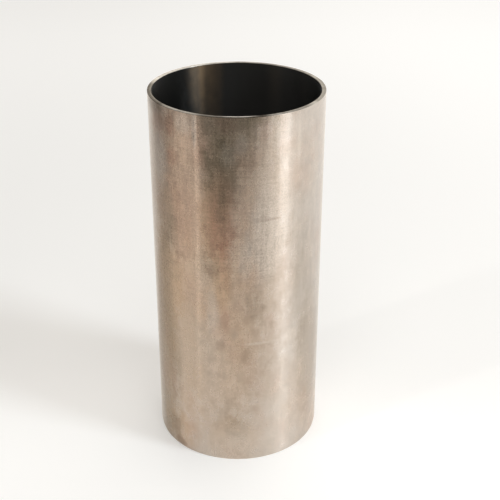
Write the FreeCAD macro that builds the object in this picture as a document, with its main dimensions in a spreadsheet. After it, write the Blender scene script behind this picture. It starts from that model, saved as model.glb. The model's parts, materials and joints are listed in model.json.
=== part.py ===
import FreeCAD, Part
import os

import Sketcher

# Cylinder liner: a plain dry sleeve, centrifugally cast in one piece, then
# turned and ground. It has no flange, so it is pressed into a block from above
# and stops on its foot. Millimetres. The origin is the centre of the lower end
# face, and +Z runs up the bore to the top (cylinder head) end.

NODE = "cylinder_liner"

# Driving dimensions: alias, value in millimetres, meaning
DIMENSIONS = (
    ("liner_length", 228.6, "length from end face to end face"),
    ("bore_diameter", 98.4, "running diameter of the bore"),
    ("wall_thickness", 2.4, "thickness of the wall between its ends"),
    ("foot_taper_length", 1.5, "height of the press-in taper round the foot"),
    ("foot_taper_depth", 0.25, "how far that taper draws in at the end face"),
    ("top_edge_break", 0.15, "break on the outer edge of the top face"),
    ("top_bore_chamfer", 0.25, "break on the edge between the top face and the bore"),
    ("foot_bore_chamfer", 0.6, "chamfer at the foot of the bore"),
)

# Sizes that follow from the driving dimensions, as expressions
BORE_RADIUS = "Dimensions.bore_diameter / 2"
OUTER_RADIUS = "Dimensions.bore_diameter / 2 + Dimensions.wall_thickness"

# How near an edge has to be to the circle that is looked for
EDGE_TOLERANCE = 1e-4

# Sketcher's own geometry and point numbers
HORIZONTAL_AXIS = -1
ORIGIN_POINT = 1
START = 1
END = 2


def make_sheet(doc):
    """Write the driving dimensions into a spreadsheet, each under its alias."""
    sheet = doc.addObject("Spreadsheet::Sheet", "Dimensions")
    for row, (alias, value, meaning) in enumerate(DIMENSIONS, start=1):
        sheet.set(f"A{row}", str(value))
        sheet.setAlias(f"A{row}", alias)
        sheet.set(f"B{row}", meaning)
    doc.recompute()
    return sheet


def origin_feature(body, role):
    """Return the plane or axis of the body's own origin that has this role."""
    for feature in body.Origin.OriginFeatures:
        if feature.Role == role:
            return feature
    raise RuntimeError(f"{body.Label} has no {role}")


def section_sketch(body, name, corners):
    """Start a closed section on the XZ plane: sketch x is radius, sketch y is height.

    The lines run from each corner to the next, and are joined end to start.
    """
    sketch = body.newObject("Sketcher::SketchObject", name)
    sketch.AttachmentSupport = (origin_feature(body, "XZ_Plane"), [""])
    sketch.MapMode = "FlatFace"
    points = [FreeCAD.Vector(radius, height, 0) for radius, height in corners]
    for here, there in zip(points, points[1:] + points[:1]):
        sketch.addGeometry(Part.LineSegment(here, there), False)
    count = len(points)
    for line in range(count):
        sketch.addConstraint(
            Sketcher.Constraint("Coincident", line, END, (line + 1) % count, START))
    return sketch


def bind(sketch, kind, name, places, expression):
    """Add a named distance constraint and tie its value to the spreadsheet."""
    value = sketch.Document.getObject("Dimensions").evalExpression(expression)
    index = sketch.addConstraint(Sketcher.Constraint(kind, *places, float(value)))
    sketch.renameConstraint(index, name)
    sketch.setExpression(f"Constraints.{name}", expression)


def turn_about_bore(body, kind, name, sketch):
    """Revolve or groove a section a full turn about the bore's axis."""
    feature = body.newObject(kind, name)
    feature.Profile = sketch
    feature.ReferenceAxis = (origin_feature(body, "Z_Axis"), [""])
    feature.Angle = 360
    sketch.Visibility = False
    return feature


def turn_wall(body, sheet):
    """Turn the plain wall: a tall thin rectangle swept round the bore's axis."""
    inner = sheet.bore_diameter / 2
    outer = inner + sheet.wall_thickness
    top = sheet.liner_length
    sketch = section_sketch(
        body, "wall_section", ((inner, 0), (outer, 0), (outer, top), (inner, top)))
    foot, outside, head, inside = range(4)
    sketch.addConstraint(Sketcher.Constraint("Horizontal", foot))
    sketch.addConstraint(Sketcher.Constraint("Vertical", outside))
    sketch.addConstraint(Sketcher.Constraint("Horizontal", head))
    sketch.addConstraint(Sketcher.Constraint("Vertical", inside))
    sketch.addConstraint(
        Sketcher.Constraint("PointOnObject", foot, START, HORIZONTAL_AXIS))
    bind(sketch, "DistanceX", "bore_radius",
         (HORIZONTAL_AXIS, ORIGIN_POINT, foot, START), BORE_RADIUS)
    bind(sketch, "DistanceX", "wall", (foot, START, foot, END), "Dimensions.wall_thickness")
    bind(sketch, "DistanceY", "length", (outside, START, outside, END),
         "Dimensions.liner_length")
    return turn_about_bore(body, "PartDesign::Revolution", "turned_wall", sketch)


def cut_foot_taper(body, sheet):
    """Cut the press-in taper: a slim triangle taken off the outside of the foot."""
    outer = sheet.bore_diameter / 2 + sheet.wall_thickness
    drawn_in = outer - sheet.foot_taper_depth
    rise = sheet.foot_taper_length
    sketch = section_sketch(
        body, "foot_taper_section", ((drawn_in, 0), (outer, 0), (outer, rise)))
    end_face, outside = range(2)
    sketch.addConstraint(Sketcher.Constraint("Horizontal", end_face))
    sketch.addConstraint(Sketcher.Constraint("Vertical", outside))
    sketch.addConstraint(
        Sketcher.Constraint("PointOnObject", end_face, START, HORIZONTAL_AXIS))
    bind(sketch, "DistanceX", "outer_radius",
         (HORIZONTAL_AXIS, ORIGIN_POINT, end_face, END), OUTER_RADIUS)
    bind(sketch, "DistanceX", "depth", (end_face, START, end_face, END),
         "Dimensions.foot_taper_depth")
    bind(sketch, "DistanceY", "rise", (outside, START, outside, END),
         "Dimensions.foot_taper_length")
    return turn_about_bore(body, "PartDesign::Groove", "foot_taper", sketch)


def ring_edge(shape, radius, height):
    """Return the name of the full circular edge at this radius and height."""
    for number, edge in enumerate(shape.Edges, start=1):
        curve = edge.Curve
        if not isinstance(curve, Part.Circle):
            continue
        off_radius = abs(curve.Radius - radius)
        off_height = abs(curve.Center.z - height)
        if max(off_radius, off_height) < EDGE_TOLERANCE:
            return f"Edge{number}"
    raise RuntimeError(f"no ring edge of radius {radius} at height {height}")


def chamfer_ring(body, name, radius, height, alias):
    """Cut a 45 degree chamfer on one ring edge of the body as it is so far."""
    base = body.Tip
    feature = body.newObject("PartDesign::Chamfer", name)
    feature.Base = (base, [ring_edge(base.Shape, radius, height)])
    feature.setExpression("Size", f"Dimensions.{alias}")
    body.Document.recompute()
    return feature


def make_liner(doc, sheet):
    """Build the liner as one body: turned wall, foot taper, then its edge chamfers."""
    body = doc.addObject("PartDesign::Body", NODE)
    body.Label = NODE
    turn_wall(body, sheet)
    doc.recompute()
    wall_volume = body.Shape.Volume
    cut_foot_taper(body, sheet)
    doc.recompute()
    if body.Shape.Volume >= wall_volume:
        raise RuntimeError("the foot taper cut nothing")

    inner = sheet.bore_diameter / 2
    outer = inner + sheet.wall_thickness
    top = sheet.liner_length
    chamfer_ring(body, "top_edge", outer, top, "top_edge_break")
    chamfer_ring(body, "top_bore_edge", inner, top, "top_bore_chamfer")
    chamfer_ring(body, "foot_bore_edge", inner, 0, "foot_bore_chamfer")
    return body


def check_document(doc, bodies):
    """Stop if any object failed to build, or a body has no single valid solid."""
    for item in doc.Objects:
        if "Invalid" in item.State or "Error" in item.State:
            raise RuntimeError(f"{item.Name} failed: {item.State}")
    for body in bodies:
        shape = body.Shape
        if shape.isNull() or not shape.isValid() or len(shape.Solids) != 1:
            raise RuntimeError(f"{body.Label} is not one valid solid")


def main():
    """Build the document, check it and write each body to its own file."""
    doc = FreeCAD.newDocument("CylinderLiner")
    sheet = make_sheet(doc)
    bodies = [make_liner(doc, sheet)]
    doc.recompute()
    check_document(doc, bodies)
    os.makedirs("parts", exist_ok=True)
    for body in bodies:
        body.Shape.exportStep(os.path.join("parts", body.Label + ".step"))
        print(f"{body.Label}: {body.Shape.Volume / 1000:.2f} cm3")


main()
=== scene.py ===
import json
import logging
import math
from dataclasses import dataclass, field
from enum import Enum, IntEnum

import bpy
import numpy as np
from bpy.types import Material, Node, NodeSocket, NodeTree, Object
from mathutils import Matrix, Vector


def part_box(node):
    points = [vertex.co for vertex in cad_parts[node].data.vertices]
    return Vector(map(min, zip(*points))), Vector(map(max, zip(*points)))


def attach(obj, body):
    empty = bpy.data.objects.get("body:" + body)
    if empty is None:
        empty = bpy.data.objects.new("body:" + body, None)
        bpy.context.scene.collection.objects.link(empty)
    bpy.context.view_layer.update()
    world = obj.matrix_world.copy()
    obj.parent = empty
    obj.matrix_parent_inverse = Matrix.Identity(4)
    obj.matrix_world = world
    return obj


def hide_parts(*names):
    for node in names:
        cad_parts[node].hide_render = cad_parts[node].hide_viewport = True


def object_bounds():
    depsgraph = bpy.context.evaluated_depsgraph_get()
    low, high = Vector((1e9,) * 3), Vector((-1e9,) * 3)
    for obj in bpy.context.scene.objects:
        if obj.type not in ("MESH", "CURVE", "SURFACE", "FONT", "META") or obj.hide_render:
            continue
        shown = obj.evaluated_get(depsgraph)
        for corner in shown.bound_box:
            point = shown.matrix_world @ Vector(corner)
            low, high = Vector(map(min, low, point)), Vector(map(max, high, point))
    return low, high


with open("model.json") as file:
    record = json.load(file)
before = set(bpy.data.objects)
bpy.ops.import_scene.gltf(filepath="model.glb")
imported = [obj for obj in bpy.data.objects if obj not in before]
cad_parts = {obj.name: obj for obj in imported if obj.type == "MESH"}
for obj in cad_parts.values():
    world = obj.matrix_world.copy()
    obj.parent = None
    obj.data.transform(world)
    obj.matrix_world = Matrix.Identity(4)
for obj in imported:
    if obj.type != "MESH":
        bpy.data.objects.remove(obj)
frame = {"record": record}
CAD_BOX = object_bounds()

LOG = logging.getLogger("liner")
NODE = "cylinder_liner"
UV_NAME = "unrolled"
MM = 0.001
MICRON = 0.001 * MM
QUARTER_TURN = 0.25

# Patches of painted shade and highlight on the top face lie at the CAD box's top and reach well past the
# face
TOP_HEIGHT = CAD_BOX[1][2]
RIM_REACH = 10 * MM

# The Mix node's sockets by index, because their names repeat
MIX_FACTOR = 0
MIX_LEVEL_A = 2
MIX_LEVEL_B = 3
MIX_COLOUR_A = 6
MIX_COLOUR_B = 7
MIX_COLOUR_RESULT = 2


class Zone(IntEnum):
    """The three finishes of the one-piece liner, in the order of its material slots."""

    OUTSIDE = 0
    BORE = 1
    ENDS = 2


class Ray(Enum):
    """Kinds of ray that see the floor or the room at a level of their own."""

    CAMERA = "Is Camera Ray"
    GLOSSY = "Is Glossy Ray"


class Graph:
    """A helper that makes, sets and links the nodes of one tree."""

    def __init__(self, tree: NodeTree) -> None:
        """Take the tree and clear what it starts with."""
        self.tree = tree
        tree.nodes.clear()

    def node(self, kind: str, inputs: dict | None = None, **settings: object) -> Node:
        """Make one node.

        Args:
            kind: the node's Blender type name.
            inputs: a value or an output socket for each input, by name or index.
            settings: the node's own properties.

        Returns:
            The new node.
        """
        made = self.tree.nodes.new(kind)
        for name, value in settings.items():
            setattr(made, name, value)
        for key, value in (inputs or {}).items():
            if isinstance(value, NodeSocket):
                self.tree.links.new(value, made.inputs[key])
            else:
                made.inputs[key].default_value = value
        return made

    def math(self, operation: str, *values: object, clamp: bool = False) -> NodeSocket:
        """Return the result of one Math node on up to three values or sockets."""
        inputs = dict(enumerate(values))
        return self.node("ShaderNodeMath", inputs, operation=operation, use_clamp=clamp).outputs[0]

    def total(self, sockets: list[NodeSocket]) -> NodeSocket:
        """Add several sockets.

        Args:
            sockets: at least one socket.

        Returns:
            The sum.
        """
        result = sockets[0]
        for socket in sockets[1:]:
            result = self.math("ADD", result, socket)
        return result

    def swing(self, value: NodeSocket, reach: float) -> NodeSocket:
        """Return a value between 0 and 1 turned into one that swings about 0 over reach."""
        return self.math("MULTIPLY_ADD", value, reach, -0.5 * reach)

    def smooth(self, value: object, low: float, high: float, to_low: float = 0.0,
               to_high: float = 1.0) -> NodeSocket:
        """Return value eased from to_low at low to to_high at high."""
        inputs = {"Value": value, "From Min": low, "From Max": high, "To Min": to_low, "To Max": to_high}
        return self.node("ShaderNodeMapRange", inputs, interpolation_type="SMOOTHSTEP").outputs["Result"]

    def noise(self, vector: NodeSocket, detail: float, roughness: float = 0.55) -> NodeSocket:
        """Return fractal noise, 0 to 1, on an already scaled vector."""
        inputs = {"Vector": vector, "Scale": 1.0, "Detail": detail, "Roughness": roughness}
        return self.node("ShaderNodeTexNoise", inputs).outputs["Fac"]

    def mix(self, factor: object, a: object, b: object, blend: str = "MIX") -> NodeSocket:
        """Return colour a mixed with colour b."""
        inputs = {MIX_FACTOR: factor, MIX_COLOUR_A: a, MIX_COLOUR_B: b}
        made = self.node("ShaderNodeMix", data_type="RGBA", blend_type=blend, inputs=inputs)
        return made.outputs[MIX_COLOUR_RESULT]

    def ramp(self, value: NodeSocket, stops: tuple) -> NodeSocket:
        """Look a value up in a smooth grey ramp.

        Args:
            value: where to read the ramp, from 0 to 1.
            stops: (place, level) pairs, in the order of their places.

        Returns:
            The ramp's level there.
        """
        made = self.node("ShaderNodeValToRGB", {"Fac": value})
        elements = made.color_ramp.elements
        made.color_ramp.interpolation = "EASE"
        while len(elements) < len(stops):
            elements.new(1.0)
        for element, (place, level) in zip(elements, stops):
            element.position = place
            element.color = (level, level, level, 1)
        return made.outputs["Color"]

    def axis(self, vector: NodeSocket, name: str) -> NodeSocket:
        """Return a vector's X, Y or Z."""
        return self.node("ShaderNodeSeparateXYZ", {0: vector}).outputs[name]

    def length(self, vector: NodeSocket) -> NodeSocket:
        """Return a vector's length."""
        return self.node("ShaderNodeVectorMath", {0: vector}, operation="LENGTH").outputs["Value"]

    def azimuth(self, vector: NodeSocket) -> NodeSocket:
        """Return the turn about +Z in radians, 0 towards -Y and positive towards +X."""
        towards = self.math("MULTIPLY", self.axis(vector, "Y"), -1.0)
        return self.math("ARCTAN2", self.axis(vector, "X"), towards)

    def bump(self, height: NodeSocket, depth: float) -> NodeSocket:
        """Return the normal of a surface that is raised by height times depth, in metres."""
        inputs = {"Strength": 1.0, "Distance": depth, "Height": height}
        return self.node("ShaderNodeBump", inputs).outputs[0]


def rgba(colour: tuple) -> tuple:
    """Return a linear colour with full alpha."""
    return (*colour, 1.0)


@dataclass(frozen=True)
class WallPlace:
    """Where a point lies on the wall: sockets worked out from Object coordinates.

    azimuth is in degrees, 0 at the side that faces -Y and positive towards +X, and
    height is in metres above the foot.
    """

    position: NodeSocket
    azimuth: NodeSocket
    height: NodeSocket

    @classmethod
    def on(cls, graph: Graph) -> "WallPlace":
        """Return the place of the point that the graph shades."""
        position = graph.node("ShaderNodeTexCoord").outputs["Object"]
        return cls(position, graph.math("DEGREES", graph.azimuth(position)), graph.axis(position, "Z"))


@dataclass(frozen=True)
class Pattern:
    """Fractal noise of so many cells a metre along X, Y and Z, slid by start."""

    cells: tuple
    detail: float
    roughness: float = 0.55
    start: tuple = (0, 0, 0)

    def at(self, graph: Graph, place: WallPlace) -> NodeSocket:
        """Return the noise at a place, from 0 to 1."""
        inputs = {"Vector": place.position, "Scale": self.cells, "Location": self.start}
        return graph.noise(graph.node("ShaderNodeMapping", inputs).outputs["Vector"],
                           self.detail, self.roughness)


@dataclass(frozen=True)
class Fade:
    """An eased change from to_low to to_high while a value goes from low to high."""

    low: float
    high: float
    to_low: float = 0.0
    to_high: float = 1.0

    def of(self, graph: Graph, value: NodeSocket) -> NodeSocket:
        """Return the faded value."""
        return graph.smooth(value, self.low, self.high, self.to_low, self.to_high)


@dataclass(frozen=True)
class Patch:
    """A soft-edged patch on the wall, for film and wear and for painted shade and highlights.

    azimuth and width are in degrees, height and tall in metres. width and tall are
    the distances from the middle to the faded edge. lean is how many degrees the patch
    slips round the wall for each metre of height, and core is the share of the distance
    that is fully covered.
    """

    EDGE = 1.05

    azimuth: float
    height: float
    width: float
    tall: float
    strength: float
    lean: float = 0.0
    core: float = 0.35

    def mask(self, graph: Graph, place: WallPlace, ragged: NodeSocket) -> NodeSocket:
        """Work out how much of a place the patch covers.

        It is strength inside the core and eases to none at the edge, by the distance
        sqrt((turn / width)^2 + (rise / tall)^2) from the patch's middle.

        Args:
            graph: the material's graph.
            place: the place on the wall.
            ragged: what pushes the distance in and out, so that the edge isn't a clean oval.

        Returns:
            The covered share, from 0 to strength.
        """
        rise = graph.math("SUBTRACT", place.height, self.height)
        turn = graph.math("SUBTRACT", place.azimuth, self.azimuth)
        turn = graph.math("SUBTRACT", turn, graph.math("MULTIPLY", rise, self.lean))
        across = graph.math("DIVIDE", graph.math("WRAP", turn, 180.0, -180.0), self.width)
        along = graph.math("DIVIDE", rise, self.tall)
        squares = graph.math("MULTIPLY_ADD", along, along, graph.math("MULTIPLY", across, across))
        distance = graph.math("ADD", graph.math("SQRT", squares), ragged)
        return graph.smooth(distance, self.core, self.EDGE, self.strength, 0.0)


def covered(patches: tuple, graph: Graph, place: WallPlace, ragged: NodeSocket) -> NodeSocket:
    """Return the sum of the masks of several patches."""
    return graph.total([stain.mask(graph, place, ragged) for stain in patches])


def new_material(name: str) -> tuple[Material, Graph]:
    """Make an empty node material.

    Args:
        name: the material's name.

    Returns:
        The material and its graph.
    """
    material = bpy.data.materials.new(name)
    material.use_nodes = True
    return material, Graph(material.node_tree)


def close_material(graph: Graph, shader: NodeSocket) -> None:
    """Link the last shader to the material's output."""
    graph.node("ShaderNodeOutputMaterial", {"Surface": shader})


def metal_shader(graph: Graph, colour: NodeSocket, roughness: NodeSocket, normal: NodeSocket,
                 anisotropy: float, bare: float = 1.0, edge: tuple = (1.0, 1.0, 1.0)) -> NodeSocket:
    """Make a metal whose highlight is drawn out square to the tool marks.

    The marks run round the axis, along the UV map's u direction, so the highlight is
    turned a quarter from that tangent.

    Args:
        graph: the material's graph.
        colour: the metal's colour.
        roughness: how wide the highlight is along the marks.
        normal: the surface's normal with its marks.
        anisotropy: how far the highlight is drawn out, 0 to 1.
        bare: the share that isn't dulled by oxide.
        edge: the tint of what the metal reflects at a grazing angle.

    Returns:
        The shader.
    """
    tangent = graph.node("ShaderNodeTangent", direction_type="UV_MAP", uv_map=UV_NAME)
    shader = graph.node("ShaderNodeBsdfPrincipled", {
        "Base Color": colour,
        "Metallic": bare,
        "Specular Tint": rgba(edge),
        "Roughness": roughness,
        "Anisotropic": anisotropy,
        "Anisotropic Rotation": QUARTER_TURN,
        "Normal": normal,
        "Tangent": tangent.outputs[0],
    })
    return shader.outputs[0]


@dataclass(frozen=True)
class OutsideMarks:
    """The outside's patterns, as sockets, and the ragged edge that they give its patches."""

    cloud: NodeSocket
    mottle: NodeSocket
    streak: NodeSocket
    grind: NodeSocket
    grain: NodeSocket
    ragged: NodeSocket


@dataclass(frozen=True)
class GroundOutside:
    """The ground outside: fine marks round the wall, under a thin uneven brown film.

    Over the film lie reddish and olive patches, dark smudges and rubbed bright places.
    Some film and olive patches are painted dark reflection and shade, and some bright
    places are painted highlights on reflected lamp lines and on the grazing edges. The
    fine marks are plainest on the coarse part and the olive patches, and the mottling
    on the blotchy parts.
    """

    clean: tuple = (0.60, 0.535, 0.475)
    film: tuple = (0.625, 0.450, 0.312)
    rust: tuple = (0.43, 0.228, 0.158)
    olive: tuple = (0.245, 0.20, 0.14)
    smudge: tuple = (0.31, 0.215, 0.155)
    rubbed_and_highlight: tuple = (0.71, 0.63, 0.55)

    cloud: Pattern = Pattern((26, 26, 17), 5, 0.60)
    mottle: Pattern = Pattern((190, 190, 130), 5, 0.64)
    streak: Pattern = Pattern((620, 620, 26), 4, 0.60)
    grind: Pattern = Pattern((14, 14, 1700), 2)
    grain: Pattern = Pattern((1300, 1300, 1100), 2)
    tint: Pattern = Pattern((48, 48, 30), 4, start=(7, 2, 5))

    cloud_ragged: float = 1.0
    mottle_ragged: float = 0.7
    cloudy_film: Fade = Fade(0.40, 0.75, 0.0, 0.35)
    mottled_film: Fade = Fade(0.30, 0.70, 0.92, 1.06)
    tinted_rust: Fade = Fade(0.50, 0.72, 0.0, 0.16)
    mottled_olive: Fade = Fade(0.25, 0.70, 0.82, 1.0)

    streak_shade: Fade = Fade(0.25, 0.75, -0.05, 0.05)
    grind_shade: Fade = Fade(0.20, 0.80, -0.055, 0.055)
    grain_shade: Fade = Fade(0.20, 0.80, -0.11, 0.11)
    mottle_shade: Fade = Fade(0.25, 0.75, -1.0, 1.0)
    fine_everywhere: float = 0.25
    fine_on_olive: float = 1.3
    broad_everywhere: float = 0.075
    broad_on_blotches: float = 0.115

    roughness: Fade = Fade(0.25, 0.75, 0.23, 0.28)
    film_roughness: float = 0.02
    anisotropy: float = 1.0
    grain_height: float = 0.35
    mark_depth: float = 2.5 * MICRON

    film_and_shade_patches: tuple = (
        Patch(-20, 0.150, 62, 0.190, 0.46, 0, 0.45),
        Patch(-44, 0.170, 34, 0.080, 0.24),
        Patch(-46, 0.060, 24, 0.070, 0.15),
        Patch(0, 0.014, 24, 0.022, 0.36),
        Patch(4, 0.146, 13, 0.034, 0.14),
        Patch(0, 0.074, 20, 0.052, 0.14),
        Patch(-14, 0.168, 12, 0.045, 0.45, 60),
        Patch(-10, 0.128, 9, 0.030, 0.35),
        # darker low and mid on the left side, at about -60 degrees
        Patch(-62, 0.080, 18, 0.100, 0.42),
        Patch(-48, 0.118, 16, 0.032, 0.28),
        Patch(-48, 0.012, 20, 0.020, 0.40),
        # a painted dark reflection of the floor's shadow on the right, low at 56 degrees
        Patch(56, 0.060, 18, 0.060, 0.18),
        Patch(128, 0.150, 30, 0.060, 0.34),
        Patch(-150, 0.085, 34, 0.050, 0.34),
        Patch(165, 0.200, 22, 0.030, 0.28),
    )
    rust_stains: tuple = (
        Patch(-10, 0.171, 11, 0.042, 0.46, 40),
        Patch(-18, 0.205, 7, 0.016, 0.20),
        Patch(-8, 0.134, 6, 0.024, 0.24),
        Patch(-34, 0.192, 48, 0.062, 0.15, 0, 0.60),
        Patch(-38, 0.162, 14, 0.036, 0.16),
        Patch(-46, 0.219, 6, 0.009, 0.40),
        Patch(-60, 0.217, 11, 0.014, 0.26),
        Patch(-60, 0.199, 9, 0.013, 0.16),
        Patch(-45, 0.201, 7, 0.008, 0.25),
        Patch(-24, 0.214, 7, 0.020, 0.16),
        Patch(4, 0.206, 15, 0.014, 0.18),
        Patch(17, 0.221, 6, 0.010, 0.18),
        Patch(8, 0.150, 14, 0.060, 0.07),
        Patch(-8, 0.104, 5, 0.014, 0.22),
        Patch(-51, 0.048, 6, 0.018, 0.22),
        Patch(-64, 0.044, 8, 0.014, 0.20),
        Patch(115, 0.095, 16, 0.030, 0.18),
        Patch(-128, 0.050, 18, 0.025, 0.18),
    )
    olive_and_shade_patches: tuple = (
        # the dark zone at the top middle: partly olive discoloration, partly a painted dark reflection of
        # the room on the camera's side
        Patch(-6, 0.238, 26, 0.055, 0.60, 0, 0.45),
        Patch(-9, 0.196, 15, 0.034, 0.55, -40),
        Patch(-19, 0.196, 7, 0.012, 0.16),
        Patch(8, 0.214, 8, 0.016, 0.25),
        Patch(-9, 0.172, 6, 0.022, 0.16),
        Patch(-44, 0.222, 6, 0.008, 0.20),
        # darker low and mid on the left side, at about -60 degrees
        Patch(-60, 0.060, 20, 0.130, 0.42, 0, 0.30),
        Patch(-47, 0.050, 8, 0.020, 0.14),
        Patch(-62, 0.020, 9, 0.018, 0.16),
        Patch(-40, 0.080, 26, 0.070, 0.14),
        # darker in a thin band just under the top edge
        Patch(-66, 0.228, 17, 0.009, 0.65),
        Patch(-47, 0.155, 8, 0.020, 0.26),
        Patch(11, 0.112, 9, 0.018, 0.26),
        Patch(6, 0.079, 6, 0.010, 0.20),
        Patch(-7, 0.034, 14, 0.014, 0.12),
        Patch(49, 0.118, 14, 0.050, 0.17),
        Patch(58, 0.055, 18, 0.065, 0.26),
        Patch(43, 0.150, 10, 0.060, 0.10),
        Patch(9, 0.085, 22, 0.080, 0.10),
        # darker in a thin band just under the top edge
        Patch(6, 0.2265, 22, 0.006, 0.16),
        Patch(-20, 0.139, 12, 0.014, 0.16),
        Patch(-53, 0.160, 11, 0.030, 0.24),
        Patch(19, 0.135, 9, 0.016, 0.14),
        Patch(0, 0.023, 11, 0.012, 0.24),
        Patch(7, 0.200, 9, 0.012, 0.14),
        Patch(-49, 0.014, 9, 0.012, 0.16),
        # darker in a thin band just under the top edge
        Patch(24, 0.229, 22, 0.007, 0.20),
        # painted shade that sharpens the left edge of the lamp's highlight near the top
        Patch(25, 0.196, 3.5, 0.060, 0.15),
        Patch(-120, 0.190, 24, 0.035, 0.30),
        Patch(150, 0.060, 26, 0.040, 0.24),
    )
    smudges: tuple = (
        Patch(-40, 0.141, 5, 0.003, 0.30),
        Patch(-17, 0.136, 8, 0.006, 0.42),
        Patch(-7, 0.225, 9, 0.009, 0.48),
        Patch(-12, 0.085, 4, 0.005, 0.25),
        Patch(21, 0.1672, 9, 0.0014, 0.85, 300),
        Patch(17, 0.1690, 5, 0.0011, 0.55),
        Patch(33, 0.106, 4, 0.014, 0.15),
        Patch(-46, 0.003, 7, 0.004, 0.60),
        Patch(-50, 0.014, 5, 0.008, 0.25),
        Patch(100, 0.128, 9, 0.004, 0.22),
        Patch(-135, 0.140, 7, 0.006, 0.35),
    )
    rubs_and_highlights: tuple = (
        Patch(12, 0.0862, 15, 0.0014, 0.30, -500),
        Patch(38, 0.086, 7, 0.005, 0.50),
        Patch(18, 0.164, 13, 0.050, 0.55),
        Patch(5, 0.141, 6, 0.018, 0.35),
        Patch(3, 0.213, 6, 0.009, 0.26),
        # painted highlight along the thin reflected line at -27 degrees, near the top
        Patch(-26.7, 0.220, 2.2, 0.016, 0.38),
        # painted highlight: a second faint reflected line right of the lamp's highlight
        Patch(42, 0.207, 2.2, 0.020, 0.40),
        Patch(-59, 0.197, 12, 0.024, 0.60),
        Patch(-5, 0.207, 8, 0.010, 0.18),
        Patch(-35, 0.222, 8, 0.009, 0.30),
        # painted reflection that brightens the grazing left edge
        Patch(-88, 0.114, 15, 0.200, 0.90, 0, 0.50),
        # painted reflection that brightens the grazing right edge
        Patch(84, 0.170, 14, 0.120, 0.55, 0, 0.40),
        # painted highlight on the lamp's highlight near the top
        Patch(31, 0.195, 5, 0.075, 0.10),
        Patch(-17, 0.110, 7, 0.020, 0.30),
        Patch(10, 0.005, 44, 0.025, 0.40, 0, 0.45),
        Patch(24, 0.030, 14, 0.026, 0.25),
        Patch(-105, 0.105, 12, 0.003, 0.35, 400),
    )
    coarse: Patch = Patch(-18, 0.190, 60, 0.105, 1.15, 0, 0.60)
    blotchy: tuple = (Patch(-2, 0.105, 32, 0.105, 1.0, 0, 0.50), Patch(-46, 0.208, 26, 0.050, 1.1))

    def marks(self, graph: Graph, place: WallPlace) -> OutsideMarks:
        """Lay out the patterns.

        Args:
            graph: the material's graph.
            place: the place on the wall.

        Returns:
            The patterns, with the clouds and mottling added up as the ragged edge.
        """
        cloud = self.cloud.at(graph, place)
        mottle = self.mottle.at(graph, place)
        ragged = graph.total([graph.swing(cloud, self.cloud_ragged),
                              graph.swing(mottle, self.mottle_ragged)])
        return OutsideMarks(cloud, mottle, self.streak.at(graph, place),
                            self.grind.at(graph, place), self.grain.at(graph, place), ragged)

    def film_share(self, graph: Graph, place: WallPlace, marks: OutsideMarks) -> NodeSocket:
        """Work out how much of the metal the brown film and one painted dark reflection cover.

        Args:
            graph: the material's graph.
            place: the place on the wall.
            marks: the patterns.

        Returns:
            The covered share, 0 to 1: the patches, more in the clouds and uneven in the mottling.
        """
        brown = covered(self.film_and_shade_patches, graph, place, marks.ragged)
        brown = graph.math("ADD", brown, self.cloudy_film.of(graph, marks.cloud), clamp=True)
        return graph.math("MULTIPLY", brown, self.mottled_film.of(graph, marks.mottle), clamp=True)

    def shade(self, graph: Graph, place: WallPlace, marks: OutsideMarks, dark: NodeSocket) -> NodeSocket:
        """Work out the shading that the marks and the mottling give.

        Args:
            graph: the material's graph.
            place: the place on the wall.
            marks: the patterns.
            dark: the share of the wall under the olive patches and the painted shade.

        Returns:
            A grey to multiply the colour by, which swings about 1.
        """
        fine = graph.total([
            self.streak_shade.of(graph, marks.streak),
            self.grind_shade.of(graph, marks.grind),
            self.grain_shade.of(graph, marks.grain),
        ])
        patina = self.coarse.mask(graph, place, marks.ragged)
        patina = graph.math("MULTIPLY_ADD", dark, self.fine_on_olive, patina)
        fine = graph.math("MULTIPLY", fine, graph.math("ADD", patina, self.fine_everywhere))
        blotches = covered(self.blotchy, graph, place, marks.ragged)
        strength = graph.math("MULTIPLY_ADD", blotches, self.broad_on_blotches, self.broad_everywhere)
        broad = graph.math("MULTIPLY", self.mottle_shade.of(graph, marks.mottle), strength)
        level = graph.math("ADD", graph.math("ADD", fine, broad), 1.0)
        return graph.node("ShaderNodeCombineColor", {0: level, 1: level, 2: level}).outputs[0]

    def material(self) -> Material:
        """Build the node material.

        Returns:
            The material.
        """
        material, graph = new_material("ground_outside")
        place = WallPlace.on(graph)
        marks = self.marks(graph, place)
        brown = self.film_share(graph, place, marks)
        tint = self.tinted_rust.of(graph, self.tint.at(graph, place))
        red = graph.math("ADD", covered(self.rust_stains, graph, place, marks.ragged), tint, clamp=True)
        dark = graph.math("MULTIPLY", covered(self.olive_and_shade_patches, graph, place, marks.ragged),
                          self.mottled_olive.of(graph, marks.mottle), clamp=True)

        # brown film, among whose patches is a painted dark reflection of the floor's shadow
        colour = graph.mix(brown, rgba(self.clean), rgba(self.film))
        colour = graph.mix(red, colour, rgba(self.rust))
        # olive patches, with painted dark reflection and shade among them
        colour = graph.mix(dark, colour, rgba(self.olive))
        colour = graph.mix(covered(self.smudges, graph, place, marks.ragged), colour, rgba(self.smudge))
        # rubbed places, with painted highlights and reflections among them
        colour = graph.mix(covered(self.rubs_and_highlights, graph, place, marks.ragged), colour, rgba(self.rubbed_and_highlight))
        colour = graph.mix(1.0, colour, self.shade(graph, place, marks, dark), "MULTIPLY")

        rough = graph.math("MULTIPLY_ADD", brown, self.film_roughness,
                           self.roughness.of(graph, marks.mottle))
        height = graph.math("MULTIPLY_ADD", marks.grain, self.grain_height, marks.grind)
        normal = graph.bump(height, self.mark_depth)
        close_material(graph, metal_shader(graph, colour, rough, normal, self.anisotropy))
        return material


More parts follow.
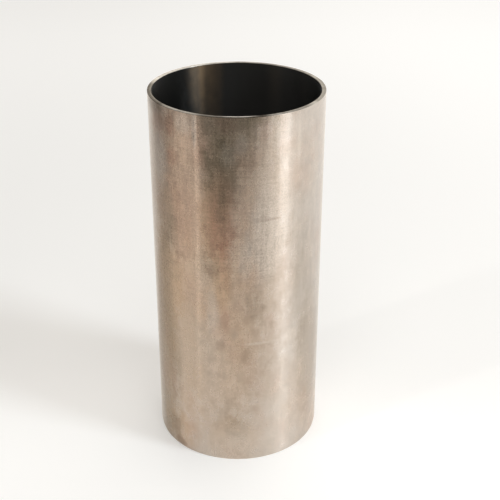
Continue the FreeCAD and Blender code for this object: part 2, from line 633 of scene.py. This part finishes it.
@dataclass(frozen=True)
class BoredInside:
    """The bore: dark, with the boring tool's rings.

    Over its clean metal lie a pale bloom, patches of painted shade, and brown patches
    that are partly lacquer and partly a painted reflection of the window lamp.
    """

    clean: tuple = (0.040, 0.040, 0.038)
    bloom: tuple = (0.095, 0.092, 0.086)
    bore_shade: tuple = (0.012, 0.012, 0.011)
    lacquer_and_reflection: tuple = (0.34, 0.235, 0.14)

    cloud: Pattern = Pattern((40, 40, 22), 5, start=(3, 1, 2))
    mottle: Pattern = Pattern((210, 210, 150), 4)
    rings: Pattern = Pattern((10, 10, 2300), 2)
    mottle_ragged: float = 0.4
    cloudy_bloom: Fade = Fade(0.45, 0.75, 0.0, 0.4)

    bloom_stains: tuple = (
        Patch(173, 0.215, 42, 0.110, 0.95),
        Patch(136, 0.225, 36, 0.110, 0.85),
    )
    bore_painted_shade: tuple = (
        # painted shade that darkens reflections on the bore's left side and beside the lamp's reflection
        Patch(-112, 0.190, 34, 0.120, 0.70, 0, 0.50),
        Patch(-146, 0.180, 9, 0.060, 0.70),
    )
    lacquer_and_reflection_patches: tuple = (
        # partly brown lacquer, partly a painted reflection of the window lamp, along where it reflects
        Patch(-155, 0.238, 17, 0.060, 0.58, 0, 0.05),
        Patch(-164, 0.222, 8, 0.070, 0.20),
        # painted highlight: the bright line of the window lamp's reflection
        Patch(-154, 0.238, 4, 0.075, 0.42, 0, 0.05),
        Patch(151, 0.226, 9, 0.040, 0.10, 0, 0.05),
        Patch(60, 0.120, 40, 0.060, 0.50),
        Patch(-20, 0.060, 50, 0.040, 0.40),
    )

    roughness: Fade = Fade(0.30, 0.70, 0.29, 0.36)
    anisotropy: float = 0.95
    bare: float = 0.75
    ring_depth: float = 3.0 * MICRON

    def material(self) -> Material:
        """Build the node material.

        Returns:
            The material.
        """
        material, graph = new_material("bored_inside")
        place = WallPlace.on(graph)
        cloud = self.cloud.at(graph, place)
        ragged = graph.swing(self.mottle.at(graph, place), self.mottle_ragged)
        pale = graph.math("ADD", covered(self.bloom_stains, graph, place, ragged),
                          self.cloudy_bloom.of(graph, cloud), clamp=True)
        colour = graph.mix(pale, rgba(self.clean), rgba(self.bloom))
        # painted shade in the bore
        colour = graph.mix(covered(self.bore_painted_shade, graph, place, ragged), colour, rgba(self.bore_shade))
        # lacquer and painted reflection of the window lamp
        colour = graph.mix(covered(self.lacquer_and_reflection_patches, graph, place, ragged), colour, rgba(self.lacquer_and_reflection))
        normal = graph.bump(self.rings.at(graph, place), self.ring_depth)
        close_material(graph, metal_shader(graph, colour, self.roughness.of(graph, cloud), normal,
                                           self.anisotropy, self.bare))
        return material


def rim_patch(azimuth: float, width: float, strength: float, core: float = 0.35) -> Patch:
    """Return a patch on the top face, across the whole of its width, for its painted shade and highlight.
    """
    return Patch(azimuth, TOP_HEIGHT, width, RIM_REACH, strength, 0, core)


@dataclass(frozen=True)
class TurnedEnds:
    """The end faces and the bore's edge breaks: turned, with the tool's rings.

    Parts of the top face carry painted shade, least along the bore's edge, where a
    painted highlight lies at the front.
    """

    clean: tuple = (0.64, 0.60, 0.54)
    dull: tuple = (0.49, 0.45, 0.39)
    shade_colour: tuple = (0.052, 0.042, 0.034)
    highlight_colour: tuple = (0.85, 0.80, 0.73)
    edge: tuple = (0.62, 0.60, 0.56)

    nick: Pattern = Pattern((300, 300, 300), 4)
    nick_ragged: float = 0.3
    rings_per_metre: float = 6000.0
    ring_detail: float = 2
    dull_share: Fade = Fade(0.40, 0.70)

    # painted shade on the top face, darker at these azimuths
    painted_shade: tuple = (
        rim_patch(-78, 28, 0.95, 0.65),
        rim_patch(-42, 18, 0.50, 0.50),
        rim_patch(-4, 26, 0.89, 0.65),
        rim_patch(33, 26, 0.60, 0.70),
        rim_patch(85, 29, 0.60, 0.70),
        rim_patch(168, 20, 0.48),
    )
    # even painted shade on the top face at the back right
    even_painted_shade: Patch = rim_patch(136, 28, 0.42, 0.50)
    # painted highlight on the bore's edge at the front
    painted_highlight: Patch = rim_patch(1, 14, 0.85)
    outer: Fade = Fade(0.0499, 0.0505)
    inner_painted_shade: float = 0.85

    roughness: Fade = Fade(0.30, 0.70, 0.27, 0.40)
    anisotropy: float = 0.6
    ring_depth: float = 2.0 * MICRON

    def material(self) -> Material:
        """Build the node material.

        Returns:
            The material.
        """
        material, graph = new_material("turned_ends")
        place = WallPlace.on(graph)
        level = graph.node("ShaderNodeVectorMath", {0: place.position, 1: (1, 1, 0)}, operation="MULTIPLY")
        radius = graph.length(level.outputs[0])
        nick = self.nick.at(graph, place)
        ragged = graph.swing(nick, self.nick_ragged)
        outer = self.outer.of(graph, radius)
        # painted shade on the top face, weaker along the bore's edge
        share = graph.math("MULTIPLY_ADD", outer, 1.0 - self.inner_painted_shade, self.inner_painted_shade)
        painted_shade = graph.math("MULTIPLY", covered(self.painted_shade, graph, place, ragged), share)
        painted_shade = graph.math("ADD", painted_shade, self.even_painted_shade.mask(graph, place, ragged), clamp=True)
        # painted highlight on the bore's edge at the front
        painted_highlight = graph.math("MULTIPLY", self.painted_highlight.mask(graph, place, ragged),
                          graph.math("SUBTRACT", 1.0, outer))
        colour = graph.mix(self.dull_share.of(graph, nick), rgba(self.clean), rgba(self.dull))
        colour = graph.mix(painted_shade, colour, rgba(self.shade_colour))
        colour = graph.mix(painted_highlight, colour, rgba(self.highlight_colour))
        rings = graph.noise(graph.math("MULTIPLY", radius, self.rings_per_metre), self.ring_detail)
        close_material(graph, metal_shader(graph, colour, self.roughness.of(graph, nick),
                                           graph.bump(rings, self.ring_depth), self.anisotropy,
                                           edge=self.edge))
        return material


@dataclass(frozen=True)
class WallSection:
    """The half section of the wall, in metres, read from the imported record's mounts."""

    length: float
    bore_radius: float
    bore_low: float
    bore_high: float
    ground_radius: float
    ground_low: float
    ground_high: float
    foot_middle: float
    top_middle: float

    @classmethod
    def from_record(cls, record: dict) -> "WallSection":
        """Read the section's sizes.

        Args:
            record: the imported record.

        Returns:
            The section. The two flat faces' mounts lie half way across their faces.
        """
        mounts = {mount["name"]: mount for mount in record["mounts"]}
        bore, outside = mounts["bore"], mounts["outside"]
        half_bore = bore["dims"]["length_mm"] * MM / 2
        half_ground = outside["dims"]["length_mm"] * MM / 2
        return cls(
            length=mounts["top_face"]["pos_m"][2],
            bore_radius=bore["dims"]["r_mm"] * MM,
            bore_low=bore["pos_m"][2] - half_bore,
            bore_high=bore["pos_m"][2] + half_bore,
            ground_radius=outside["dims"]["r_mm"] * MM,
            ground_low=outside["pos_m"][2] - half_ground,
            ground_high=outside["pos_m"][2] + half_ground,
            foot_middle=mounts["foot_face"]["pos_m"][0],
            top_middle=mounts["top_face"]["pos_m"][0],
        )

    def corners(self) -> tuple[np.ndarray, list[Zone]]:
        """Lay out the section's corners.

        They go round the wall with the metal on the left: along the foot face, up the
        outside, in over the top face and down the bore. The bore's chamfers are at 45
        degrees, so they draw out by as much as they rise.

        Returns:
            The (radius, height) points, and the finish of the run after each.
        """
        foot_inner = self.bore_radius + self.bore_low
        top_inner = self.bore_radius + self.length - self.bore_high
        foot_outer = 2 * self.foot_middle - foot_inner
        top_outer = 2 * self.top_middle - top_inner
        points = np.array([
            (foot_inner, 0.0),
            (foot_outer, 0.0),
            (self.ground_radius, self.ground_low),
            (self.ground_radius, self.ground_high),
            (top_outer, self.length),
            (top_inner, self.length),
            (self.bore_radius, self.bore_high),
            (self.bore_radius, self.bore_low),
        ])
        zones = [Zone.ENDS, Zone.OUTSIDE, Zone.OUTSIDE, Zone.ENDS,
                 Zone.ENDS, Zone.ENDS, Zone.BORE, Zone.ENDS]
        return points, zones


@dataclass
class LatheSurface:
    """A closed surface turned from a closed section whose corners are slightly eased."""

    turns: int = 576
    ease_radius: float = 0.10 * MM
    ease_steps: int = 3
    longest_step: float = 6.0 * MM
    fewest_steps: int = 2
    widest_hold: float = 0.2
    seam: float = math.pi / 2

    def profile(self, corners: np.ndarray, zones: list[Zone]) -> tuple[np.ndarray, np.ndarray, np.ndarray]:
        """Ease the corners and divide the runs between them.

        Each corner becomes an arc of ease_radius that touches both runs: it starts
        ease_radius * tan(turn / 2) before the corner, and its normals turn evenly from
        one run's to the next. The arc takes the later finish of its two runs. A run is
        divided evenly into steps of at most longest_step, with one short step at each
        end, which is at most widest_hold of the run.

        Args:
            corners: (radius, height) points with the metal on the left.
            zones: the finish of the run after each corner.

        Returns:
            Points, outward normals and the zone of the step after each point.
        """
        ahead = np.roll(corners, -1, axis=0) - corners
        ahead /= np.linalg.norm(ahead, axis=1, keepdims=True)
        behind = np.roll(ahead, 1, axis=0)
        out_behind = np.stack([behind[:, 1], -behind[:, 0]], axis=1)
        start = np.arctan2(out_behind[:, 1], out_behind[:, 0])
        turn = np.arctan2(behind[:, 0] * ahead[:, 1] - behind[:, 1] * ahead[:, 0],
                          np.sum(behind * ahead, axis=1))
        setback = self.ease_radius * np.tan(turn / 2)
        centre = corners - setback[:, None] * behind - self.ease_radius * out_behind
        angle = start[:, None] + turn[:, None] * np.linspace(0, 1, self.ease_steps + 1)
        arc_normal = np.stack([np.cos(angle), np.sin(angle)], axis=2)
        arc = centre[:, None, :] + self.ease_radius * arc_normal

        points, normals, kinds = [], [], []
        for corner, zone in enumerate(zones):
            here, there = arc[corner, -1], arc[(corner + 1) % len(zones), 0]
            run = np.linalg.norm(there - here)
            count = max(self.fewest_steps, math.ceil(run / self.longest_step))
            share = np.linspace(0, 1, count + 1)[1:-1]
            hold = min(self.ease_radius / run, self.widest_hold)
            share = np.concatenate([[hold], share, [1 - hold]])[:, None]
            points += [arc[corner], here + (there - here) * share]
            normals += [arc_normal[corner], np.repeat(arc_normal[corner, -1:], len(share), axis=0)]
            kinds.append(np.full(self.ease_steps, max(zones[corner - 1], zone)))
            kinds.append(np.full(len(share) + 1, zone))
        return np.concatenate(points), np.concatenate(normals), np.concatenate(kinds)

    def build(self, name: str, corners: np.ndarray, zones: list[Zone]) -> Object:
        """Turn the section round +Z.

        A point is (r(s) cos a, r(s) sin a, z(s)), where a runs once round from the
        seam and s runs once along the section, so the surface closes both ways. Its
        normal is the section's normal turned by the same angle.

        Args:
            name: the piece's name.
            corners: (radius, height) points with the metal on the left.
            zones: the finish of the run after each corner.

        Returns:
            The new object, at the origin, with its UV map and material indices.
        """
        section, section_normals, kinds = self.profile(corners, zones)
        count = len(section)
        angle = self.seam + 2 * math.pi * np.arange(self.turns) / self.turns
        direction = np.stack([np.cos(angle), np.sin(angle)], axis=1)[:, None, :]

        def turned(values: np.ndarray) -> np.ndarray:
            """Carry (radius, height) pairs round the axis.

            Args:
                values: the pairs along the section.

            Returns:
                The (x, y, z) rows, section after section.
            """
            flat = direction * values[None, :, :1]
            tall = np.broadcast_to(values[None, :, 1:], (self.turns, count, 1))
            return np.concatenate([flat, tall], axis=2).reshape(-1, 3)

        column, row = np.meshgrid(np.arange(self.turns), np.arange(count), indexing="ij")
        next_column, next_row = (column + 1) % self.turns, (row + 1) % count
        quads = np.stack([column * count + row, next_column * count + row,
                          next_column * count + next_row, column * count + next_row], axis=2)
        quads = quads.reshape(-1, 4)
        step = np.linalg.norm(np.roll(section, -1, axis=0) - section, axis=1)
        along = np.concatenate([[0], np.cumsum(step)]) / step.sum()
        u = np.stack([column, column + 1, column + 1, column], axis=2) / self.turns
        v = np.stack([along[row], along[row], along[row + 1], along[row + 1]], axis=2)

        mesh = bpy.data.meshes.new(name)
        mesh.vertices.add(self.turns * count)
        mesh.vertices.foreach_set("co", turned(section).ravel())
        mesh.loops.add(quads.size)
        mesh.loops.foreach_set("vertex_index", quads.ravel())
        mesh.polygons.add(len(quads))
        mesh.polygons.foreach_set("loop_start", np.arange(0, quads.size, 4))
        mesh.polygons.foreach_set("material_index", np.tile(kinds, self.turns).astype(np.int32))
        unrolled = mesh.uv_layers.new(name=UV_NAME)
        unrolled.data.foreach_set("uv", np.stack([u, v], axis=3).ravel().astype(np.float32))
        mesh.update(calc_edges=True)
        mesh.shade_smooth()
        mesh.normals_split_custom_set_from_vertices(turned(section_normals))
        piece = bpy.data.objects.new(name, mesh)
        bpy.context.scene.collection.objects.link(piece)
        return piece


@dataclass
class Liner:
    """The cylinder liner: one turned piece in three finishes."""

    section: WallSection
    surface: LatheSurface = field(default_factory=LatheSurface)
    outside: GroundOutside = field(default_factory=GroundOutside)
    inside: BoredInside = field(default_factory=BoredInside)
    ends: TurnedEnds = field(default_factory=TurnedEnds)

    def build(self) -> Object:
        """Make the turned piece and put it in the place of its CAD node.

        Returns:
            The piece, with no material yet.
        """
        corners, zones = self.section.corners()
        piece = self.surface.build("liner_sleeve", corners, zones)
        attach(piece, "root")
        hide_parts(NODE)
        return piece

    def dress(self, piece: Object) -> None:
        """Give the piece its three finishes, in the order of Zone."""
        for finish in (self.outside, self.inside, self.ends):
            piece.data.materials.append(finish.material())


@dataclass
class SoftLamp:
    """A soft rectangular lamp on a stand, aimed at the middle of the liner.

    azimuth is in degrees, 0 on the camera's side (-Y) and positive towards +X. A lamp
    that isn't mirrored lights the scene but doesn't show in the metal.
    """

    name: str
    azimuth: float
    elevation: float
    distance: float
    width: float
    tall: float
    radiance: float
    colour: tuple
    mirrored: bool

    def build(self, target: Vector) -> None:
        """Make the lamp. Its power is radiance * pi * area, which gives that radiance.

        Args:
            target: the point that the lamp looks at.
        """
        turn, rise = math.radians(self.azimuth), math.radians(self.elevation)
        away = Vector((math.sin(turn) * math.cos(rise), -math.cos(turn) * math.cos(rise),
                       math.sin(rise)))
        lamp = bpy.data.lights.new(self.name, "AREA")
        lamp.shape = "RECTANGLE"
        lamp.size = self.width
        lamp.size_y = self.tall
        lamp.energy = self.radiance * math.pi * self.width * self.tall
        lamp.color = self.colour
        holder = bpy.data.objects.new(self.name, lamp)
        holder.location = target + away * self.distance
        holder.rotation_mode = "QUATERNION"
        holder.rotation_quaternion = away.to_track_quat("Z", "Y")
        holder.visible_glossy = self.mirrored
        bpy.context.scene.collection.objects.link(holder)


@dataclass(frozen=True)
class Surround:
    """How bright the room looks from the liner, by direction.

    sides holds (azimuth in degrees, level) pairs from behind on the left, past the
    camera at 0, to behind on the right. overhead holds (sine of elevation, level).
    """

    colour: tuple = (1.0, 0.985, 0.96)
    sides: tuple = ((-180, 2.35), (-167, 3.00), (-154, 1.60), (-138, 0.80), (-118, 0.35),
                    (-98, 0.33), (-82, 0.53), (-66, 0.60), (-56, 0.48), (-48, 0.30), (-34, 0.15),
                    (-14, 0.08), (4, 0.10), (18, 0.18), (32, 0.37), (44, 0.68), (54, 1.12),
                    (66, 1.33), (78, 1.30), (92, 1.36), (118, 1.95), (148, 2.45), (180, 2.35))
    overhead: tuple = ((0.0, 1.0), (0.12, 0.95), (0.34, 0.62), (0.70, 0.38), (1.0, 0.38))

    def side_level(self, graph: Graph, direction: NodeSocket) -> NodeSocket:
        """Find how bright the side is that a direction or place lies on.

        Args:
            graph: the graph to add to.
            direction: the direction, or the place seen from the origin.

        Returns:
            The level of that side.
        """
        share = graph.math("MULTIPLY_ADD", graph.azimuth(direction), 0.5 / math.pi, 0.5)
        stops = tuple(((azimuth + 180) / 360, level) for azimuth, level in self.sides)
        return graph.ramp(share, stops)

    def level(self, graph: Graph, direction: NodeSocket) -> NodeSocket:
        """Return the level of the side times that of the elevation."""
        overhead = graph.ramp(graph.axis(direction, "Z"), self.overhead)
        return graph.math("MULTIPLY", self.side_level(graph, direction), overhead)


@dataclass
class PaleFloor:
    """A wide pale floor that keeps the liner's shadow.

    The lift_ and front_ fields say how much brighter than its light the camera and
    reflections see it, the shadow_ fields place the shadow on the right, and the gleam_
    fields lay a narrow ray of light on it.
    """

    surround: Surround
    radius: float = 6.0
    rings: int = 40
    spokes: int = 96
    paper: tuple = (0.83, 0.81, 0.78)

    lift_by_side: Fade = Fade(-0.35, 0.35, 0.074, 0.184)
    front_by_side: Fade = Fade(-0.35, 0.35, 0.1152, 0.112)
    front_edge: Fade = Fade(-0.08, 0.08, 1.0, 0.0)
    front_lean: float = 0.11
    lift_near: Fade = Fade(0.04, 0.16, 0.024, 0.0)
    lift_far: Fade = Fade(0.24, 1.05, 0.0, 0.140)

    shadow_slope: float = 0.6
    shadow_offset: float = 0.058
    shadow_edge: Fade = Fade(-0.02, 0.03)
    shadow_side: Fade = Fade(0.0, 0.04)
    shadow_loss: float = 0.8

    mirror_fall: Fade = Fade(0.30, 0.60)
    gleam_start: tuple = (-0.0226, -0.0464, 0.0)
    gleam_azimuth: float = -53.0
    gleam_across: Fade = Fade(0.0, 1.5, 1.0, 0.0)
    gleam_along: Fade = Fade(0.02, 0.72, 0.052, 5.2)

    def build(self) -> None:
        """Make the disc: rings whose radius grows with the square of their number."""
        ring = self.radius * (np.arange(1, self.rings + 1) / self.rings) ** 2
        angle = 2 * math.pi * np.arange(self.spokes) / self.spokes
        flat = ring[:, None, None] * np.stack([np.cos(angle), np.sin(angle)], axis=1)[None]
        rim = np.concatenate([flat, np.zeros((self.rings, self.spokes, 1))], axis=2).reshape(-1, 3)
        points = np.concatenate([rim, [[0, 0, 0]]])
        inner, spoke = np.meshgrid(np.arange(self.rings - 1), np.arange(self.spokes), indexing="ij")
        after = (spoke + 1) % self.spokes
        first = inner * self.spokes
        second = first + self.spokes
        quads = np.stack([first + spoke, second + spoke, second + after, first + after], axis=2)
        around = np.arange(self.spokes)
        middle = np.stack([np.full(self.spokes, self.rings * self.spokes), around,
                           (around + 1) % self.spokes], axis=1)
        mesh = bpy.data.meshes.new("floor")
        mesh.from_pydata(points.tolist(), [], quads.reshape(-1, 4).tolist() + middle.tolist())
        mesh.materials.append(self.material())
        floor = bpy.data.objects.new("floor", mesh)
        bpy.context.scene.collection.objects.link(floor)

    def material(self) -> Material:
        """Build matt paper, lifted a little for the camera and for reflections only.

        In reflections it also falls, with distance, to the level of the room's side, and
        it has a gleam.

        Returns:
            The material.
        """
        material, graph = new_material("pale_paper")
        path = graph.node("ShaderNodeLightPath").outputs
        glossy = path[Ray.GLOSSY.value]
        position = graph.node("ShaderNodeTexCoord").outputs["Object"]
        paper = graph.node("ShaderNodeBsdfDiffuse", {"Color": rgba(self.paper)}).outputs[0]
        seen = graph.math("MAXIMUM", path[Ray.CAMERA.value], glossy)
        shown = graph.math("MULTIPLY", self.lift(graph, position), seen)
        glow = graph.node("ShaderNodeEmission", {
            "Color": rgba(self.surround.colour),
            "Strength": graph.math("MULTIPLY_ADD", self.gleam(graph, position), glossy, shown),
        }).outputs[0]
        lit = graph.node("ShaderNodeAddShader", {0: paper, 1: glow}).outputs[0]
        away = self.mirror_fall.of(graph, graph.length(position))
        dimmed = graph.math("SUBTRACT", 1.0, self.surround.side_level(graph, position), clamp=True)
        loss = graph.math("MULTIPLY", graph.math("MULTIPLY", away, dimmed), glossy)
        black = graph.node("ShaderNodeEmission", {"Strength": 0.0}).outputs[0]
        close_material(graph, graph.node("ShaderNodeMixShader", {0: loss, 1: lit, 2: black}).outputs[0])
        return material

    def lift(self, graph: Graph, position: NodeSocket) -> NodeSocket:
        """Work out how much brighter the paper looks than its light.

        It is lifted most to the right, in front, close round the foot and far away. The
        lift in front fades out in the shadow on the right, whose edge is the line
        y = shadow_slope * x - shadow_offset.

        Args:
            graph: the material's graph.
            position: the place on the floor.

        Returns:
            The lift.
        """
        x, y = graph.axis(position, "X"), graph.axis(position, "Y")
        distance = graph.length(position)
        in_front = self.front_edge.of(graph, graph.math("MULTIPLY_ADD", x, self.front_lean, y))
        beyond = graph.math("MULTIPLY_ADD", x, -self.shadow_slope, graph.math("ADD", y, self.shadow_offset))
        shadow = graph.math("MULTIPLY", self.shadow_edge.of(graph, beyond), self.shadow_side.of(graph, x))
        kept = graph.math("MULTIPLY_ADD", shadow, -self.shadow_loss, 1.0)
        in_front = graph.math("MULTIPLY", in_front, kept)
        return graph.total([
            self.lift_by_side.of(graph, x),
            graph.math("MULTIPLY", in_front, self.front_by_side.of(graph, x)),
            self.lift_near.of(graph, distance),
            self.lift_far.of(graph, distance),
        ])

    def gleam(self, graph: Graph, position: NodeSocket) -> NodeSocket:
        """Draw a narrow ray of light on the floor that leaves the wall's foot.

        It widens with distance from gleam_start, as a gap between two screens would
        throw it, and grows from faint at the foot to full further out.

        Args:
            graph: the material's graph.
            position: the place on the floor.

        Returns:
            The ray's level.
        """
        gone = graph.node("ShaderNodeVectorMath", {0: position, 1: self.gleam_start},
                          operation="SUBTRACT").outputs[0]
        turn = graph.math("DEGREES", graph.azimuth(gone))
        off = graph.math("ABSOLUTE", graph.math("SUBTRACT", turn, self.gleam_azimuth))
        along = self.gleam_along.of(graph, graph.length(gone))
        return graph.math("MULTIPLY", self.gleam_across.of(graph, off), along)


@dataclass
class Studio:
    """Floor, lamps and world. shown_level is that of the background for the camera."""

    surround: Surround = field(default_factory=Surround)
    shown_level: float = 0.97
    lamps: tuple = (
        SoftLamp("window_lamp", azimuth=65, elevation=31, distance=3.6, width=0.72, tall=2.0,
                 radiance=10.3, colour=(0.88, 0.98, 1.08), mirrored=True),
        SoftLamp("side_lamp", azimuth=-58, elevation=38, distance=3.6, width=0.12, tall=0.9,
                 radiance=25.0, colour=(1.0, 1.0, 1.0), mirrored=False),
        SoftLamp("overhead_lamp", azimuth=0, elevation=62, distance=2.6, width=1.8, tall=1.8,
                 radiance=2.6, colour=(1.0, 0.99, 0.97), mirrored=False),
    )

    def build(self, middle: Vector) -> None:
        """Make the floor, lamps and world.

        Args:
            middle: the middle of the liner.
        """
        PaleFloor(self.surround).build()
        for lamp in self.lamps:
            lamp.build(middle)
        self.build_world()

    def build_world(self) -> None:
        """Make the room's own light, with a plain pale background for the camera."""
        world = bpy.data.worlds.new("studio")
        world.use_nodes = True
        graph = Graph(world.node_tree)
        path = graph.node("ShaderNodeLightPath").outputs
        direction = graph.node("ShaderNodeTexCoord").outputs["Generated"]
        level = graph.node("ShaderNodeMix", {
            MIX_FACTOR: path[Ray.CAMERA.value],
            MIX_LEVEL_A: self.surround.level(graph, direction),
            MIX_LEVEL_B: self.shown_level,
        }, data_type="FLOAT")
        back = graph.node("ShaderNodeBackground", {
            "Color": rgba(self.surround.colour),
            "Strength": level.outputs[0],
        })
        graph.node("ShaderNodeOutputWorld", {"Surface": back.outputs[0]})
        bpy.context.scene.world = world


@dataclass
class PhotoCamera:
    """The photograph's camera: the lens, place and tilt fitted to the liner's outline."""

    frame_px: float = 500.0
    focal_px: float = 992.1
    sensor_mm: float = 36.0
    distance: float = 0.5512
    height: float = 0.4076
    pitch: float = 27.30
    pan: float = 0.81
    roll: float = 0.09
    clip_start: float = 0.01

    def build(self) -> None:
        """Make the camera and hand it to the scene."""
        data = bpy.data.cameras.new("photo_camera")
        data.sensor_width = self.sensor_mm
        data.lens = self.sensor_mm * self.focal_px / self.frame_px
        data.clip_start = self.clip_start
        camera = bpy.data.objects.new("photo_camera", data)
        place = Matrix.Translation((0.0, -self.distance, self.height))
        turn = Matrix.Rotation(math.radians(-self.pan), 4, "Z")
        tilt = Matrix.Rotation(math.radians(90.0 - self.pitch), 4, "X")
        lean = Matrix.Rotation(math.radians(self.roll), 4, "Z")
        camera.matrix_world = place @ turn @ tilt @ lean
        bpy.context.scene.collection.objects.link(camera)
        bpy.context.scene.camera = camera


def main() -> None:
    """Build the liner, the studio and the camera, in that order."""
    logging.basicConfig(level=logging.INFO, format="%(name)s: %(message)s")
    liner = Liner(WallSection.from_record(frame["record"]))
    piece = liner.build()
    liner.dress(piece)
    LOG.info("%s: %d faces, %d finishes", piece.name, len(piece.data.polygons),
             len(piece.data.materials))
    low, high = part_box(NODE)
    Studio().build((low + high) / 2)
    PhotoCamera().build()
    bpy.context.scene.view_settings.view_transform = "Standard"


if __name__ == "__main__":
    main()
